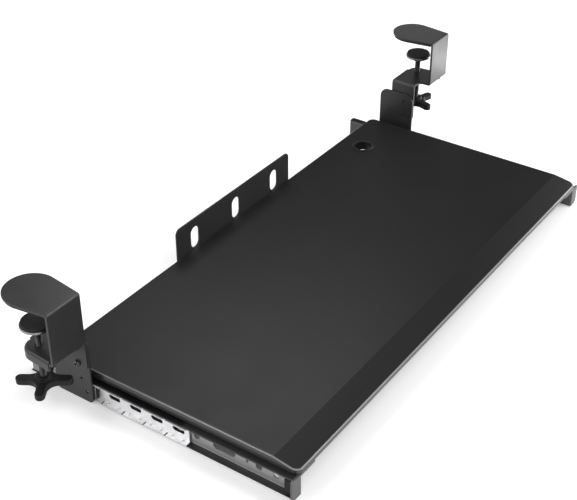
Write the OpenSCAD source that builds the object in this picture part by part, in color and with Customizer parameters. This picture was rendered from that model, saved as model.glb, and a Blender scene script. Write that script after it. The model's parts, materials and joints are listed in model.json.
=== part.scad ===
// Sliding tray on ball slides, hung from two screw clamps that grip a level edge, shown pulled out.
// Millimetres. +X is to the user's right, +Y away from the user, +Z up.
// The origin is the middle of the gripped edge, on the upper face that the jaws hold.

/* [Board] */
// Width of the board
board_w = 686; // [560:1:800]
// Depth of the board, front to back
board_d = 331; // [280:1:400]
// Thickness of the board
board_t = 12; // [10:0.5:18]
// Radius of the board's corners in plan
board_corner_r = 9; // [5:1:30]
// Depth of the sloping strip along the front edge
bevel_run = 31; // [10:1:50]
// Fall of the sloping strip
bevel_drop = 5; // [2:0.5:7]
// Distance from the gripped upper face down to the board's top
tray_drop = 124; // [110:1:160]
// Distance from the gripped edge back to the board's back edge, pulled out
board_setback = 78; // [60:1:110]

/* [Cable grommet] */
// Distance of the grommet's centre from the board's right side
grommet_from_side = 83; // [50:1:150]
// Distance of the grommet's centre from the board's back edge
grommet_from_back = 36; // [32:1:80]
// Diameter of the grommet's rim
grommet_rim_d = 32; // [28:1:50]
// Thickness of the grommet's rim
grommet_rim_t = 2.5; // [1:0.5:4]
// Depth of the recess in the board's top that the rim sits in
grommet_recess = 1; // [0.5:0.1:1]
// Diameter of the cable hole
grommet_bore_d = 24; // [12:1:24]
// Wall of the grommet's barrel
grommet_wall = 1.6; // [1:0.2:2]

/* [Back stop] */
// Width of the back stop
stop_w = 244; // [220:1:400]
// Height of the back stop above the board's top
stop_h = 42; // [36:1:60]
// Sheet thickness of the back stop
stop_t = 2; // [1:0.5:3]
// Radius of the back stop's upper corners
stop_corner_r = 8; // [2:1:12]
// Depth of the back stop's foot under the board
stop_foot_d = 30; // [24:1:60]
// Distance between the wood screws in the foot
stop_screw_pitch = 81; // [60:1:100]
// Width of each cable slot
slot_w = 16; // [8:1:24]
// Height of each cable slot
slot_h = 30; // [26:1:34]
// Distance between the cable slots
slot_pitch = 86; // [40:1:96]
// Number of cable slots
slot_count = 3; // [1:1:3]
// Gap between the board's back edge and the back stop
stop_gap = 0.5; // [0:0.1:2]

/* [Slides] */
// Length of the moving channel
slide_l = 363; // [330:1:420]
// Height of the moving channel
slide_h = 27; // [27:1:35]
// Depth of the moving channel, web to lips
slide_depth = 9.5; // [9.5:0.5:12]
// Sheet thickness of the channel and of the fixed rail
slide_t = 1.2; // [1:0.1:1.4]
// Height of each lip on the channel's open side
slide_lip_h = 1.5; // [1.5:0.1:2.1]
// Distance of the channel's web from the board's side, inwards
slide_inset = 3; // [0:0.5:20]
// Gap between the board and the channel
slide_gap = 0.5; // [0:0.1:3]
// Distance from the board's front edge back to the channel's front end
slide_setback = 3; // [3:0.5:12]
// Travel of the tray from pulled out to pushed in
extension = 248; // [200:1:260]
// Length of the fixed rail
rail_l = 96; // [80:1:96]
// Height of the fixed rail
rail_h = 18; // [17:0.5:18]
// Depth of the fixed rail
rail_depth = 6; // [5:0.1:6]
// Distance that the fixed rail stands out past the channel's lips
rail_stand = 1.5; // [1:0.1:4]
// Distance from the hanger's front edge forwards to the fixed rail's front end
rail_lead = 2; // [0:0.5:4]
// Length of the plastic bumper on the fixed rail
bumper_l = 6; // [4:0.5:6.5]
// Length of the plastic stop in the channel's front end
front_buffer_l = 9.5; // [4:0.5:11]
// Length of the plastic stop in the channel's back end
back_buffer_l = 3; // [2:0.5:4]
// Distance of the plastic stops from the channel's two ends
buffer_inset = 1.5; // [1:0.5:3]

/* [Ball cages] */
// Length of cage that stays on the fixed rail when the tray is pulled out
cage_engage = 55; // [40:1:80]
// Sheet thickness of the ball cage
cage_t = 0.8; // [0.6:0.1:0.8]
// Distance from the channel's web face to the cage's web
cage_stand = 3.5; // [3.4:0.1:3.6]
// Gap between the cage's front end and the channel's front stop, pushed in
cage_gap = 0.5; // [0.3:0.1:2]
// Distance from the cage's front end to the middle of its first window
cage_lead = 14.5; // [10:0.5:24]
// Least web or flange left behind the last window and the last slit
cage_tail = 2; // [1:0.5:6]
// Pitch of the windows in the cage
cage_pitch = 30; // [24:0.5:40]
// Length of each window in the cage
cage_window_l = 16; // [8:1:18]
// Height of each window in the cage
cage_window_h = 6.5; // [3:0.5:8]
// Width of the slits in the cage's flanges
cage_slit = 1.8; // [1:0.2:2.4]
// Distance of each ball from the middle of the window beside it
ball_spread = 7.5; // [4:0.5:8]
// Running gap between the balls and their tracks
ball_gap = 0.35; // [0.3:0.01:0.4]
// Gap between the balls and the cage's web
ball_web_gap = 0.5; // [0.4:0.1:0.7]
// Gap round each ball in its hole in the cage
ball_hole_gap = 0.2; // [0.1:0.05:0.3]

/* [Channel holes] */
// Distances of the channel's screws from its front end
channel_screw_at = [25, 150, 270]; // [20:1:290]
// Distances of the channel's round holes from its front end
channel_hole_at = [47, 128]; // [40:1:290]
// Diameter of the channel's round holes
channel_hole_d = 8; // [4:0.5:9]
// Distance of the channel's small hole from its front end
channel_pilot_at = 62; // [58:1:72]
// Diameter of the channel's small hole
channel_pilot_d = 3.5; // [2:0.5:5]
// Distance of the long slot's near end from the channel's front end
channel_slot_at = 77; // [76:1:90]
// Length of the long slot
channel_slot_l = 29; // [16:1:40]
// Height of the long slot
channel_slot_h = 9; // [5:0.5:10]

/* [Tray brackets] */
// Length of the angle bracket under each side of the board
bracket_l = 312; // [300:1:325]
// Width of the angle bracket's level leg
bracket_leg = 28; // [22:1:60]
// Sheet thickness of the angle brackets
bracket_t = 2.5; // [1.5:0.5:3]
// Distance of the end wood screws from the bracket's ends
bracket_screw_inset = 31; // [10:1:80]
// Width of the plate that closes each channel's front end
end_plate_w = 15.5; // [12:0.5:15.5]
// Radius of the end plate's lower corner
end_plate_r = 6; // [2:0.5:10]

/* [Hangers] */
// Width of each hanger plate, front to back
hanger_w = 54.5; // [48:0.5:90]
// Distance from the gripped edge back to the hanger's front edge
hanger_setback = 14; // [12:1:18]
// Distance from the board's top up to the hanger's top edge
hanger_rise = 50; // [46:1:56]
// Sheet thickness of the hanger plates
hanger_t = 2.5; // [2:0.5:4]
// Radius of the hanger's upper corners
hanger_top_r = 12; // [4:1:16]
// Radius of the hanger's lower corners
hanger_low_r = 6; // [2:1:10]
// Height of the upper hanger bolt above the board's top
bolt_high = 37; // [34:0.5:40]
// Height of the lower hanger bolt above the board's top
bolt_low = 15; // [14:0.5:22]
// Distance of the hanger bolts behind the hanger's front edge
bolt_back = 14; // [9:0.5:22]
// Distance of the slide screws from the hanger's front and back edges
rail_screw_inset = 8; // [7:0.5:12]
// Distance of the spare hole below the board's top
spare_hole_drop = 9; // [7:0.5:12]

/* [Clamps] */
// Width of each clamp's front face
clamp_w = 48; // [40:1:70]
// Height of each clamp's front face
clamp_h = 66.5; // [62:0.5:72]
// Sheet thickness of the clamps
clamp_t = 3; // [2:0.5:4]
// Outer radius of the clamp's bends
bend_r = 4; // [4:0.5:6]
// Distance from the clamp's side tab out to its front face
clamp_offset = 14.5; // [10:0.5:30]
// Radius of the inner corner where the lower jaw widens towards its side tab
jaw_fillet_r = 7; // [2:0.5:8]
// Distance from the gripped edge back to the centre of the upper jaw's round end
tongue_y = 43; // [40:1:60]
// Radius of the upper jaw's round end
tongue_r = 29.5; // [25:0.5:36]
// Thickness of the soft pad under the upper jaw
pad_t = 3; // [1:0.5:5]
// Margin of the soft pads inside the jaw and the foot that carry them
pad_margin = 1.5; // [1:0.5:4]
// Height of the side tab's lower edge above the board's top
tab_rise = 9.5; // [7:0.5:10]
// Radius of the side tab's lower corners
tab_r = 6; // [2:0.5:8]
// Drop of the lip round the lower jaw's outer edge
lip_drop = 9; // [4:0.5:14]

/* [Clamp screws] */
// Diameter of the clamp screws
screw_d = 8; // [6:0.5:9]
// Distance of each screw from the clamp's outer side
screw_from_side = 19; // [18:0.5:22]
// Distance from the gripped edge back to the screws
screw_y = 35; // [30:1:44]
// Radius of the lower jaw's round end about the screw
lower_jaw_r = 16; // [14:0.5:18]
// Thickness that the jaws are set to grip
grip_t = 27; // [18:1:30]
// Width of the nut across its flats
nut_w = 13; // [12:0.5:16]
// Height of the nut
nut_h = 6.5; // [4:0.5:8]
// Diameter of the pressure foot
foot_d = 36; // [26:1:38]
// Thickness of the pressure foot's plate
foot_t = 3; // [2:0.5:4]
// Thickness of the soft pad on the pressure foot
foot_pad_t = 3; // [2:0.5:4]
// Diameter of the pressure foot's socket boss
boss_d = 14; // [13:0.5:20]
// Height of the pressure foot's socket boss
boss_h = 6; // [5:0.5:7]
// Depth of the socket that takes the screw's end
socket_h = 3; // [2:0.5:4]
// Distance from the lower jaw's underside down to the knob's top
knob_drop = 42; // [32:0.5:60]
// Reach of the knob's arms
knob_r = 31; // [24:1:36]
// Radius of the arms' tips
knob_tip_r = 5.5; // [4:0.5:7]
// Radius of the hollows between the arms
knob_hollow_r = 12; // [8:0.5:14]
// Thickness of the knob's arms
knob_t = 8; // [5:0.5:12]
// Height of the collar round the screw on top of the knob
collar_h = 4; // [2:0.5:8]
// Diameter of the collar
collar_d = 18; // [14:0.5:22]
// Turn of the left knob's first arm, from +X towards the front
left_knob_turn = 57; // [0:1:90]
// Turn of the right knob's first arm, from +X towards the front
right_knob_turn = 18; // [0:1:90]

/* [Fasteners] */
// Diameter of the wood screws
wood_screw_d = 4; // [3:0.5:5]
// Depth of the wood screws in the board
wood_screw_l = 8; // [6:0.5:9]
// Diameter of the hanger bolts
bolt_d = 5; // [4:0.5:6]
// Diameter of the screws that hold the slides
slide_screw_d = 4; // [3:0.5:4]
// Head diameter of the wood screws and the hanger bolts
head_d = 8; // [7:0.5:9]
// Head diameter of the screws that hold the slides
slide_head_d = 7; // [6:0.5:8]
// Head height of the wood screws and the hanger bolts
head_h = 3.5; // [2:0.5:4.5]
// Head height of the screws that hold the slides
slide_head_h = 1.2; // [1:0.1:1.4]
// Gap round a fastener in its hole
hole_clear = 0.15; // [0.1:0.05:0.3]
// Gap between pieces that move past each other
run_clear = 0.3; // [0.2:0.05:0.5]

/* [Hidden] */
$fn = 48;

// How far a cutting shape runs past the face that it cuts
cut = 1;

// Board
board_half = board_w / 2;
board_back_y = board_setback;
board_front_y = board_setback - board_d;
board_top_z = -tray_drop;
board_low_z = board_top_z - board_t;
grommet_x = board_half - grommet_from_side;
grommet_y = board_back_y - grommet_from_back;
barrel_d = grommet_bore_d + 2 * grommet_wall;
rim_z = board_top_z - grommet_recess;
wood_hole_d = wood_screw_d + 2 * hole_clear;

// Back stop
stop_y = board_back_y + stop_gap;
stop_low_z = board_low_z - stop_t;
stop_screw_y = stop_y - stop_foot_d / 2;
stop_screw_x = [-stop_screw_pitch, 0, stop_screw_pitch];

// Slides, measured outwards from the middle on the right-hand side
web_x = board_half - slide_inset;
lip_x = web_x + slide_depth;
rail_x = lip_x + rail_stand;
slide_z = board_low_z - slide_gap - slide_h / 2;
slide_low_z = slide_z - slide_h / 2;
channel_front_y = board_front_y + slide_setback;
channel_back_y = channel_front_y + slide_l;
rail_front_y = hanger_setback - rail_lead;
slide_hole_d = slide_screw_d + 2 * hole_clear;

// Ball cages, right-hand side
cage_back_y = rail_front_y + cage_engage;
cage_front_y = channel_front_y + extension / 2 + buffer_inset + front_buffer_l + cage_gap;
cage_l = cage_back_y - cage_front_y;
cage_x = web_x + cage_stand;
cage_reach = rail_x - run_clear - cage_x;
cage_room = cage_l - cage_lead - cage_window_l / 2 - cage_tail;
cage_windows = floor(cage_room / cage_pitch) + 1;
window_y = [for (i = [0 : cage_windows - 1]) cage_front_y + cage_lead + i * cage_pitch];
last_slit_y = cage_back_y - cage_tail - cage_slit / 2;
slit_y = [for (y = window_y) if (y + cage_pitch / 2 < last_slit_y) y + cage_pitch / 2];
track_low = rail_h / 2;
track_high = slide_h / 2 - slide_t;
track_z = (track_low + track_high) / 2;
ball_d = track_high - track_low - 2 * ball_gap;
ball_x = cage_x + cage_t + ball_web_gap + ball_d / 2;
ball_y = [for (y = window_y, s = [-1, 1]) y + s * ball_spread];

// Brackets
bracket_x = web_x - bracket_t;
bracket_front_y = channel_front_y - bracket_t;
bracket_back_y = bracket_front_y + bracket_l;
bracket_screw_x = web_x - bracket_leg / 2 - bracket_t;
bracket_screw_y = [
    bracket_front_y + bracket_screw_inset,
    (bracket_front_y + bracket_back_y) / 2,
    bracket_back_y - bracket_screw_inset
];

// Hangers and clamps, right-hand side
hanger_x = rail_x;
hanger_low_z = slide_low_z;
hanger_h = hanger_rise + board_top_z - hanger_low_z;
bolt_y = hanger_setback + bolt_back;
bolt_z = [board_top_z + bolt_low, board_top_z + bolt_high];
bolt_hole_d = bolt_d + 2 * hole_clear;
spare_hole_z = board_top_z - spare_hole_drop;
rail_screw_y = [hanger_setback + rail_screw_inset, hanger_setback + hanger_w - rail_screw_inset];
tab_x = hanger_x + hanger_t;
tab_low_z = board_top_z + tab_rise;
clamp_in_x = tab_x + clamp_t + clamp_offset;
clamp_out_x = clamp_in_x + clamp_w;
clamp_mid_x = clamp_in_x + clamp_w / 2;
clamp_low_z = pad_t + clamp_t - clamp_h;
jaw_top_z = clamp_low_z + clamp_t;
jaw_back_y = screw_y + lower_jaw_r;

// Clamp screws
screw_x = clamp_out_x - screw_from_side;
screw_hole_d = screw_d + 2 * run_clear;
foot_pad_z = -grip_t - foot_pad_t;
foot_plate_z = foot_pad_z - foot_t;
boss_z = foot_plate_z - boss_h;
socket_top_z = boss_z + socket_h;
knob_top_z = clamp_low_z - knob_drop;
knob_low_z = knob_top_z - knob_t;

COAT = "#2b2b2d";
STEEL = "#85878a";
PAINT = "#56575a";
ZINC = "#dcdee0";
BLACK = "#161617";
LAMINATE = "#262627";

// Angle of the point where a line from p touches the circle of radius r about c, on p's left
function touch_angle(p, c, r) = atan2(p.y - c.y, p.x - c.x) + acos(r / norm(p - c));

// Draws a right-hand piece, or its mirror image on the left
module on_side(side) {
    if (side < 0) mirror([1, 0, 0]) children();
    else children();
}

// Extrudes a (Y, Z) outline along +X from x
module along_x(x, l) {
    translate([x, 0, 0]) rotate([90, 0, 90]) linear_extrude(l) children();
}

// Extrudes an (X, Z) outline along +Y from y
module along_y(y, l) {
    translate([0, y + l, 0]) rotate([90, 0, 0]) linear_extrude(l) children();
}

// Round bar along +X from x
module bar_x(x, l, d, y, z) {
    translate([x, y, z]) rotate([0, 90, 0]) cylinder(d = d, h = l);
}

// Cutter along X for a round hole through a sheet that spans x to x + t
module hole_x(x, t, d, y, z) {
    bar_x(x - cut, t + 2 * cut, d, y, z);
}

// Cutter along Z for a round hole through a sheet that spans z to z + t
module hole_z(z, t, d, x, y) {
    translate([x, y, z - cut]) cylinder(d = d, h = t + 2 * cut);
}

// What a rounded corner takes off the corner at the origin of the first quadrant
module corner_waste(r) {
    difference() {
        translate([-cut, -cut]) square(r + cut);
        translate([r, r]) circle(r);
    }
}

// What a fillet adds in the inner corner at the origin of the first quadrant
module inner_fillet(r) {
    difference() {
        square(r);
        translate([r, r]) circle(r);
    }
}

// Rectangle from its low corner, with one radius for each corner, anticlockwise; 0 is sharp
module rounded_rect(size, radii) {
    corners = [[0, 0], [size.x, 0], [size.x, size.y], [0, size.y]];
    difference() {
        square(size);
        for (i = [0 : 3]) if (radii[i] > 0) translate(corners[i]) rotate(90 * i) corner_waste(radii[i]);
    }
}

// Slot with round ends, centred, longer along its first axis
module oval(l, w) {
    square([l - w, w], center = true);
    for (s = [-1, 1]) translate([s * (l - w) / 2, 0]) circle(d = w);
}

// Tray

module tray_board() {
    slope = [
        [board_front_y + bevel_run, board_top_z],
        [board_front_y - bevel_run, board_top_z - 2 * bevel_drop],
        [board_front_y - bevel_run, board_top_z + cut],
        [board_front_y + bevel_run, board_top_z + cut]
    ];
    color(LAMINATE) difference() {
        translate([-board_half, board_front_y, board_low_z]) linear_extrude(board_t)
            rounded_rect([board_w, board_d], [for (i = [0 : 3]) board_corner_r]);
        along_x(-board_half - cut, board_w + 2 * cut) polygon(slope);
        hole_z(board_low_z, board_t, barrel_d + 2 * hole_clear, grommet_x, grommet_y);
        translate([grommet_x, grommet_y, rim_z])
            cylinder(d = grommet_rim_d + 2 * hole_clear, h = grommet_recess + cut);
        for (s = [-1, 1], y = bracket_screw_y) pilot_hole(s * bracket_screw_x, y);
        for (x = stop_screw_x) pilot_hole(x, stop_screw_y);
    }
}

// Blind hole for a wood screw in the board's underside
module pilot_hole(x, y) {
    translate([x, y, board_low_z - cut]) cylinder(d = wood_hole_d, h = wood_screw_l + hole_clear + cut);
}

// Wood screw driven up through a sheet of thickness t that lies under the board
module wood_screw(x, y, t) {
    translate([x, y, board_low_z - t]) {
        cylinder(d = wood_screw_d, h = wood_screw_l + t);
        translate([0, 0, -head_h]) cylinder(d = head_d, h = head_h);
    }
}

module cable_grommet() {
    barrel_h = rim_z - board_low_z;
    color(BLACK) difference() {
        translate([grommet_x, grommet_y, board_low_z]) {
            cylinder(d = barrel_d, h = barrel_h);
            translate([0, 0, barrel_h]) cylinder(d = grommet_rim_d, h = grommet_rim_t);
        }
        hole_z(board_low_z, barrel_h + grommet_rim_t, grommet_bore_d, grommet_x, grommet_y);
    }
}

module back_stop() {
    upright_h = stop_t + board_t + stop_h;
    slot_x = [for (i = [0 : slot_count - 1]) (i - (slot_count - 1) / 2) * slot_pitch];
    color(COAT) difference() {
        union() {
            along_y(stop_y, stop_t) translate([-stop_w / 2, stop_low_z])
                rounded_rect([stop_w, upright_h], [0, 0, stop_corner_r, stop_corner_r]);
            translate([-stop_w / 2, stop_y - stop_foot_d, stop_low_z])
                cube([stop_w, stop_foot_d + stop_t, stop_t]);
        }
        for (x = slot_x) along_y(stop_y - cut, stop_t + 2 * cut)
            translate([x, board_top_z + slot_h / 2]) rotate(90) oval(slot_h, slot_w);
        for (x = stop_screw_x) hole_z(stop_low_z, stop_t, wood_hole_d, x, stop_screw_y);
    }
}

module back_stop_screws() {
    color(STEEL) for (x = stop_screw_x) wood_screw(x, stop_screw_y, stop_t);
}

module tray_bracket(side) {
    leg_z = board_low_z - bracket_t;
    color(PAINT) on_side(side) difference() {
        union() {
            translate([bracket_x, bracket_front_y, slide_low_z])
                cube([bracket_t, bracket_l, board_low_z - slide_low_z]);
            translate([web_x - bracket_leg, bracket_front_y, leg_z])
                cube([bracket_leg, bracket_l, bracket_t]);
            along_y(bracket_front_y, bracket_t) translate([bracket_x, slide_low_z])
                rounded_rect([end_plate_w, slide_h], [0, end_plate_r, 0, 0]);
        }
        for (y = bracket_screw_y) hole_z(leg_z, bracket_t, wood_hole_d, bracket_screw_x, y);
        for (at = channel_screw_at) hole_x(bracket_x, bracket_t, slide_hole_d, channel_front_y + at, slide_z);
    }
}

module bracket_screws(side) {
    color(STEEL) on_side(side) for (y = bracket_screw_y) wood_screw(bracket_screw_x, y, bracket_t);
}

module slide_channel(side) {
    mouth_h = slide_h - 2 * slide_lip_h;
    color(STEEL) on_side(side) difference() {
        along_y(channel_front_y, slide_l) translate([web_x, slide_low_z]) difference() {
            rounded_rect([slide_depth, slide_h], [for (i = [0 : 3]) slide_t]);
            translate([slide_t, slide_t]) square([slide_depth - 2 * slide_t, slide_h - 2 * slide_t]);
            translate([slide_depth / 2, slide_lip_h]) square([slide_depth, mouth_h]);
        }
        for (at = channel_screw_at) web_hole(at, slide_hole_d);
        for (at = channel_hole_at) web_hole(at, channel_hole_d);
        web_hole(channel_pilot_at, channel_pilot_d);
        along_x(web_x - cut, slide_t + 2 * cut)
            translate([channel_front_y + channel_slot_at + channel_slot_l / 2, slide_z])
                oval(channel_slot_l, channel_slot_h);
    }
}

// Round hole through the channel's web, at a distance from its front end
module web_hole(at, d) {
    hole_x(web_x, slide_t, d, channel_front_y + at, slide_z);
}

module channel_screws(side) {
    color(ZINC) on_side(side) for (at = channel_screw_at) {
        bar_x(bracket_x, bracket_t + slide_t, slide_screw_d, channel_front_y + at, slide_z);
        bar_x(web_x + slide_t, slide_head_h, slide_head_d, channel_front_y + at, slide_z);
    }
}

// Plastic stops in the channel's two ends
module channel_stops(side) {
    stop_x = web_x + slide_t;
    stop_d = lip_x - slide_t - run_clear - stop_x;
    stop_z = slide_z - rail_h / 2;
    color(BLACK) on_side(side) {
        translate([stop_x, channel_front_y + buffer_inset, stop_z]) cube([stop_d, front_buffer_l, rail_h]);
        translate([stop_x, channel_back_y - buffer_inset - back_buffer_l, stop_z])
            cube([stop_d, back_buffer_l, rail_h]);
    }
}

// Ball cages

module ball_cage(side) {
    flange_h = 2 * track_z + cage_t;
    color(ZINC) on_side(side) difference() {
        union() {
            translate([cage_x, cage_front_y, slide_z - flange_h / 2]) cube([cage_t, cage_l, flange_h]);
            for (s = [-1, 1]) translate([cage_x, cage_front_y, slide_z + s * track_z - cage_t / 2])
                cube([cage_reach, cage_l, cage_t]);
        }
        for (y = window_y) along_x(cage_x - cut, cage_t + 2 * cut)
            translate([y, slide_z]) oval(cage_window_l, cage_window_h);
        for (y = slit_y) translate([cage_x + 2 * cage_t, y - cage_slit / 2, slide_z - flange_h])
            cube([cage_reach, cage_slit, 2 * flange_h]);
        for (y = ball_y) hole_z(slide_z - flange_h / 2, flange_h, ball_d + 2 * ball_hole_gap, ball_x, y);
    }
}

module cage_balls(side) {
    color(ZINC) on_side(side) for (y = ball_y, s = [-1, 1])
        translate([ball_x, y, slide_z + s * track_z]) sphere(d = ball_d, $fn = 24);
}

// Clamps, hangers and fixed rails

module fixed_rail(side) {
    color(STEEL) on_side(side) difference() {
        along_y(rail_front_y, rail_l) translate([rail_x - rail_depth, slide_z - rail_h / 2]) difference() {
            square([rail_depth, rail_h]);
            translate([-cut, slide_t]) square([rail_depth - slide_t + cut, rail_h - 2 * slide_t]);
        }
        for (y = rail_screw_y) hole_x(rail_x - slide_t, slide_t, slide_hole_d, y, slide_z);
    }
}

module rail_screws(side) {
    color(ZINC) on_side(side) for (y = rail_screw_y) {
        bar_x(rail_x - slide_t, slide_t + hanger_t, slide_screw_d, y, slide_z);
        bar_x(rail_x - slide_t - slide_head_h, slide_head_h, slide_head_d, y, slide_z);
    }
}

// Plastic bumper in the front end of the fixed rail
module rail_bumper(side) {
    bumper_h = rail_h - 2 * slide_t - 2 * hole_clear;
    bumper_d = rail_depth - slide_t - run_clear;
    color(BLACK) on_side(side)
        translate([rail_x - slide_t - bumper_d, rail_front_y - run_clear, slide_z - bumper_h / 2])
            cube([bumper_d, bumper_l, bumper_h]);
}

module hanger_plate(side) {
    radii = [hanger_low_r, hanger_low_r, hanger_top_r, hanger_top_r];
    color(COAT) on_side(side) difference() {
        along_x(hanger_x, hanger_t) translate([hanger_setback, hanger_low_z])
            rounded_rect([hanger_w, hanger_h], radii);
        for (z = bolt_z) hole_x(hanger_x, hanger_t, bolt_hole_d, bolt_y, z);
        for (y = rail_screw_y) hole_x(hanger_x, hanger_t, slide_hole_d, y, slide_z);
        hole_x(hanger_x, hanger_t, slide_hole_d, bolt_y, spare_hole_z);
    }
}

module hanger_bolts(side) {
    color(BLACK) on_side(side) for (z = bolt_z) {
        bar_x(hanger_x + run_clear, hanger_t + clamp_t - run_clear, bolt_d, bolt_y, z);
        bar_x(tab_x + clamp_t, head_h, head_d, bolt_y, z);
    }
}

// Upper jaw in plan: a round end whose sides run in to the front face's two edges
module tongue_outline(margin) {
    centre = [clamp_mid_x, tongue_y];
    r = tongue_r - margin;
    edge = [clamp_out_x - margin, margin];
    turn = touch_angle(edge, centre, r);
    reach = r * [cos(turn), sin(turn)];
    translate(centre) circle(r);
    polygon([
        [2 * clamp_mid_x - edge.x, edge.y],
        edge,
        centre + reach,
        [clamp_mid_x - reach.x, tongue_y + reach.y]
    ]);
}

// Outer side of the lower jaw in plan, from the front face round to behind the screw
module lower_jaw_outline(margin) {
    centre = [screw_x, screw_y];
    r = lower_jaw_r - margin;
    edge = [clamp_out_x - margin, 0];
    turn = touch_angle(edge, centre, r);
    translate(centre) circle(r);
    polygon([[screw_x, 0], edge, centre + r * [cos(turn), sin(turn)], centre]);
}

// Lower jaw in plan, from the side tab to the outer edge
module lower_jaw_plan() {
    lower_jaw_outline(0);
    translate([clamp_in_x, 0]) square([screw_x - clamp_in_x, jaw_back_y]);
    translate([tab_x, hanger_setback]) square([screw_x - tab_x, jaw_back_y - hanger_setback]);
    translate([clamp_in_x, hanger_setback]) rotate(180) inner_fillet(jaw_fillet_r);
}

// Lip round the lower jaw's outer edge, in plan
module lip_plan() {
    intersection() {
        difference() {
            lower_jaw_outline(0);
            lower_jaw_outline(clamp_t);
        }
        translate([screw_x, bend_r]) square([clamp_w, jaw_back_y]);
    }
}

// Front face with the two bends, in (Y, Z)
module clamp_profile() {
    difference() {
        translate([-clamp_t, clamp_low_z])
            rounded_rect([clamp_t + bend_r, clamp_h], [bend_r, 0, 0, bend_r]);
        translate([0, jaw_top_z]) square([bend_r + cut, clamp_h - 2 * clamp_t]);
    }
}

module clamp_bracket(side) {
    tab_size = [jaw_back_y - hanger_setback, jaw_top_z - tab_low_z];
    color(COAT) on_side(side) difference() {
        union() {
            along_x(clamp_in_x, clamp_w) clamp_profile();
            translate([0, 0, pad_t]) linear_extrude(clamp_t) tongue_outline(0);
            translate([0, 0, clamp_low_z]) linear_extrude(clamp_t) lower_jaw_plan();
            translate([0, 0, clamp_low_z - lip_drop]) linear_extrude(lip_drop + clamp_t) lip_plan();
            along_x(tab_x, clamp_t) translate([hanger_setback, tab_low_z])
                rounded_rect(tab_size, [tab_r, tab_r, 0, 0]);
        }
        hole_z(clamp_low_z, clamp_t, screw_hole_d + 2 * run_clear, screw_x, screw_y);
        for (z = bolt_z) hole_x(tab_x, clamp_t, bolt_hole_d, bolt_y, z);
    }
}

module jaw_pad(side) {
    color(BLACK) on_side(side) linear_extrude(pad_t) tongue_outline(pad_margin);
}

// Nut welded under the lower jaw
module clamp_nut(side) {
    nut_z = clamp_low_z - nut_h;
    color(STEEL) on_side(side) difference() {
        translate([screw_x, screw_y, nut_z]) cylinder(d = nut_w / cos(30), h = nut_h, $fn = 6);
        hole_z(nut_z, nut_h, screw_hole_d, screw_x, screw_y);
    }
}

// Clamp screws

module pressure_foot(side) {
    color(STEEL) on_side(side) translate([screw_x, screw_y, 0]) difference() {
        union() {
            translate([0, 0, foot_plate_z]) cylinder(d = foot_d, h = foot_t);
            translate([0, 0, boss_z]) cylinder(d = boss_d, h = boss_h);
        }
        translate([0, 0, boss_z - cut]) cylinder(d = screw_hole_d, h = socket_h + cut);
    }
}

module foot_pad(side) {
    color(BLACK) on_side(side) translate([screw_x, screw_y, foot_pad_z])
        cylinder(d = foot_d - 2 * pad_margin, h = foot_pad_t);
}

module clamp_screw(side) {
    color(STEEL) on_side(side) translate([screw_x, screw_y, knob_low_z])
        cylinder(d = screw_d, h = socket_top_z - run_clear - knob_low_z);
}

// Four-armed star in plan, with hollows between the arms
module star_outline() {
    hollow = knob_tip_r + knob_hollow_r;
    for (a = [0, 90]) rotate(a) oval(2 * knob_r, 2 * knob_tip_r);
    difference() {
        square(2 * min(hollow, knob_r - knob_tip_r), center = true);
        for (a = [45 : 90 : 315]) rotate(a) translate([hollow * sqrt(2), 0]) circle(knob_hollow_r);
    }
}

module star_knob(side) {
    turn = side < 0 ? left_knob_turn - 180 : -right_knob_turn;
    color(BLACK) on_side(side) difference() {
        translate([screw_x, screw_y, knob_low_z]) {
            rotate(turn) linear_extrude(knob_t) star_outline();
            cylinder(d = collar_d, h = knob_t + collar_h);
        }
        hole_z(knob_low_z, knob_t + collar_h, screw_d + 2 * hole_clear, screw_x, screw_y);
    }
}

tray_board();
cable_grommet();
back_stop();
back_stop_screws();
tray_bracket(-1);  // left_tray_bracket
tray_bracket(1);  // right_tray_bracket
bracket_screws(-1);  // left_bracket_screws
bracket_screws(1);  // right_bracket_screws
slide_channel(-1);  // left_slide_channel
slide_channel(1);  // right_slide_channel
channel_screws(-1);  // left_channel_screws
channel_screws(1);  // right_channel_screws
channel_stops(-1);  // left_channel_stops
channel_stops(1);  // right_channel_stops
ball_cage(-1);  // left_ball_cage
ball_cage(1);  // right_ball_cage
cage_balls(-1);  // left_cage_balls
cage_balls(1);  // right_cage_balls
fixed_rail(-1);  // left_fixed_rail
fixed_rail(1);  // right_fixed_rail
rail_screws(-1);  // left_rail_screws
rail_screws(1);  // right_rail_screws
rail_bumper(-1);  // left_rail_bumper
rail_bumper(1);  // right_rail_bumper
hanger_plate(-1);  // left_hanger_plate
hanger_plate(1);  // right_hanger_plate
hanger_bolts(-1);  // left_hanger_bolts
hanger_bolts(1);  // right_hanger_bolts
clamp_bracket(-1);  // left_clamp_bracket
clamp_bracket(1);  // right_clamp_bracket
jaw_pad(-1);  // left_jaw_pad
jaw_pad(1);  // right_jaw_pad
clamp_nut(-1);  // left_clamp_nut
clamp_nut(1);  // right_clamp_nut
pressure_foot(-1);  // left_pressure_foot
pressure_foot(1);  // right_pressure_foot
foot_pad(-1);  // left_foot_pad
foot_pad(1);  // right_foot_pad
clamp_screw(-1);  // left_clamp_screw
clamp_screw(1);  // right_clamp_screw
star_knob(-1);  // left_star_knob
star_knob(1);  // right_star_knob
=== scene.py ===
"""Looks of a sliding tray that hangs from two screw clamps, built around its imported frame."""
import json
import math

import bmesh
import bpy
from mathutils import Matrix, Vector


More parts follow.
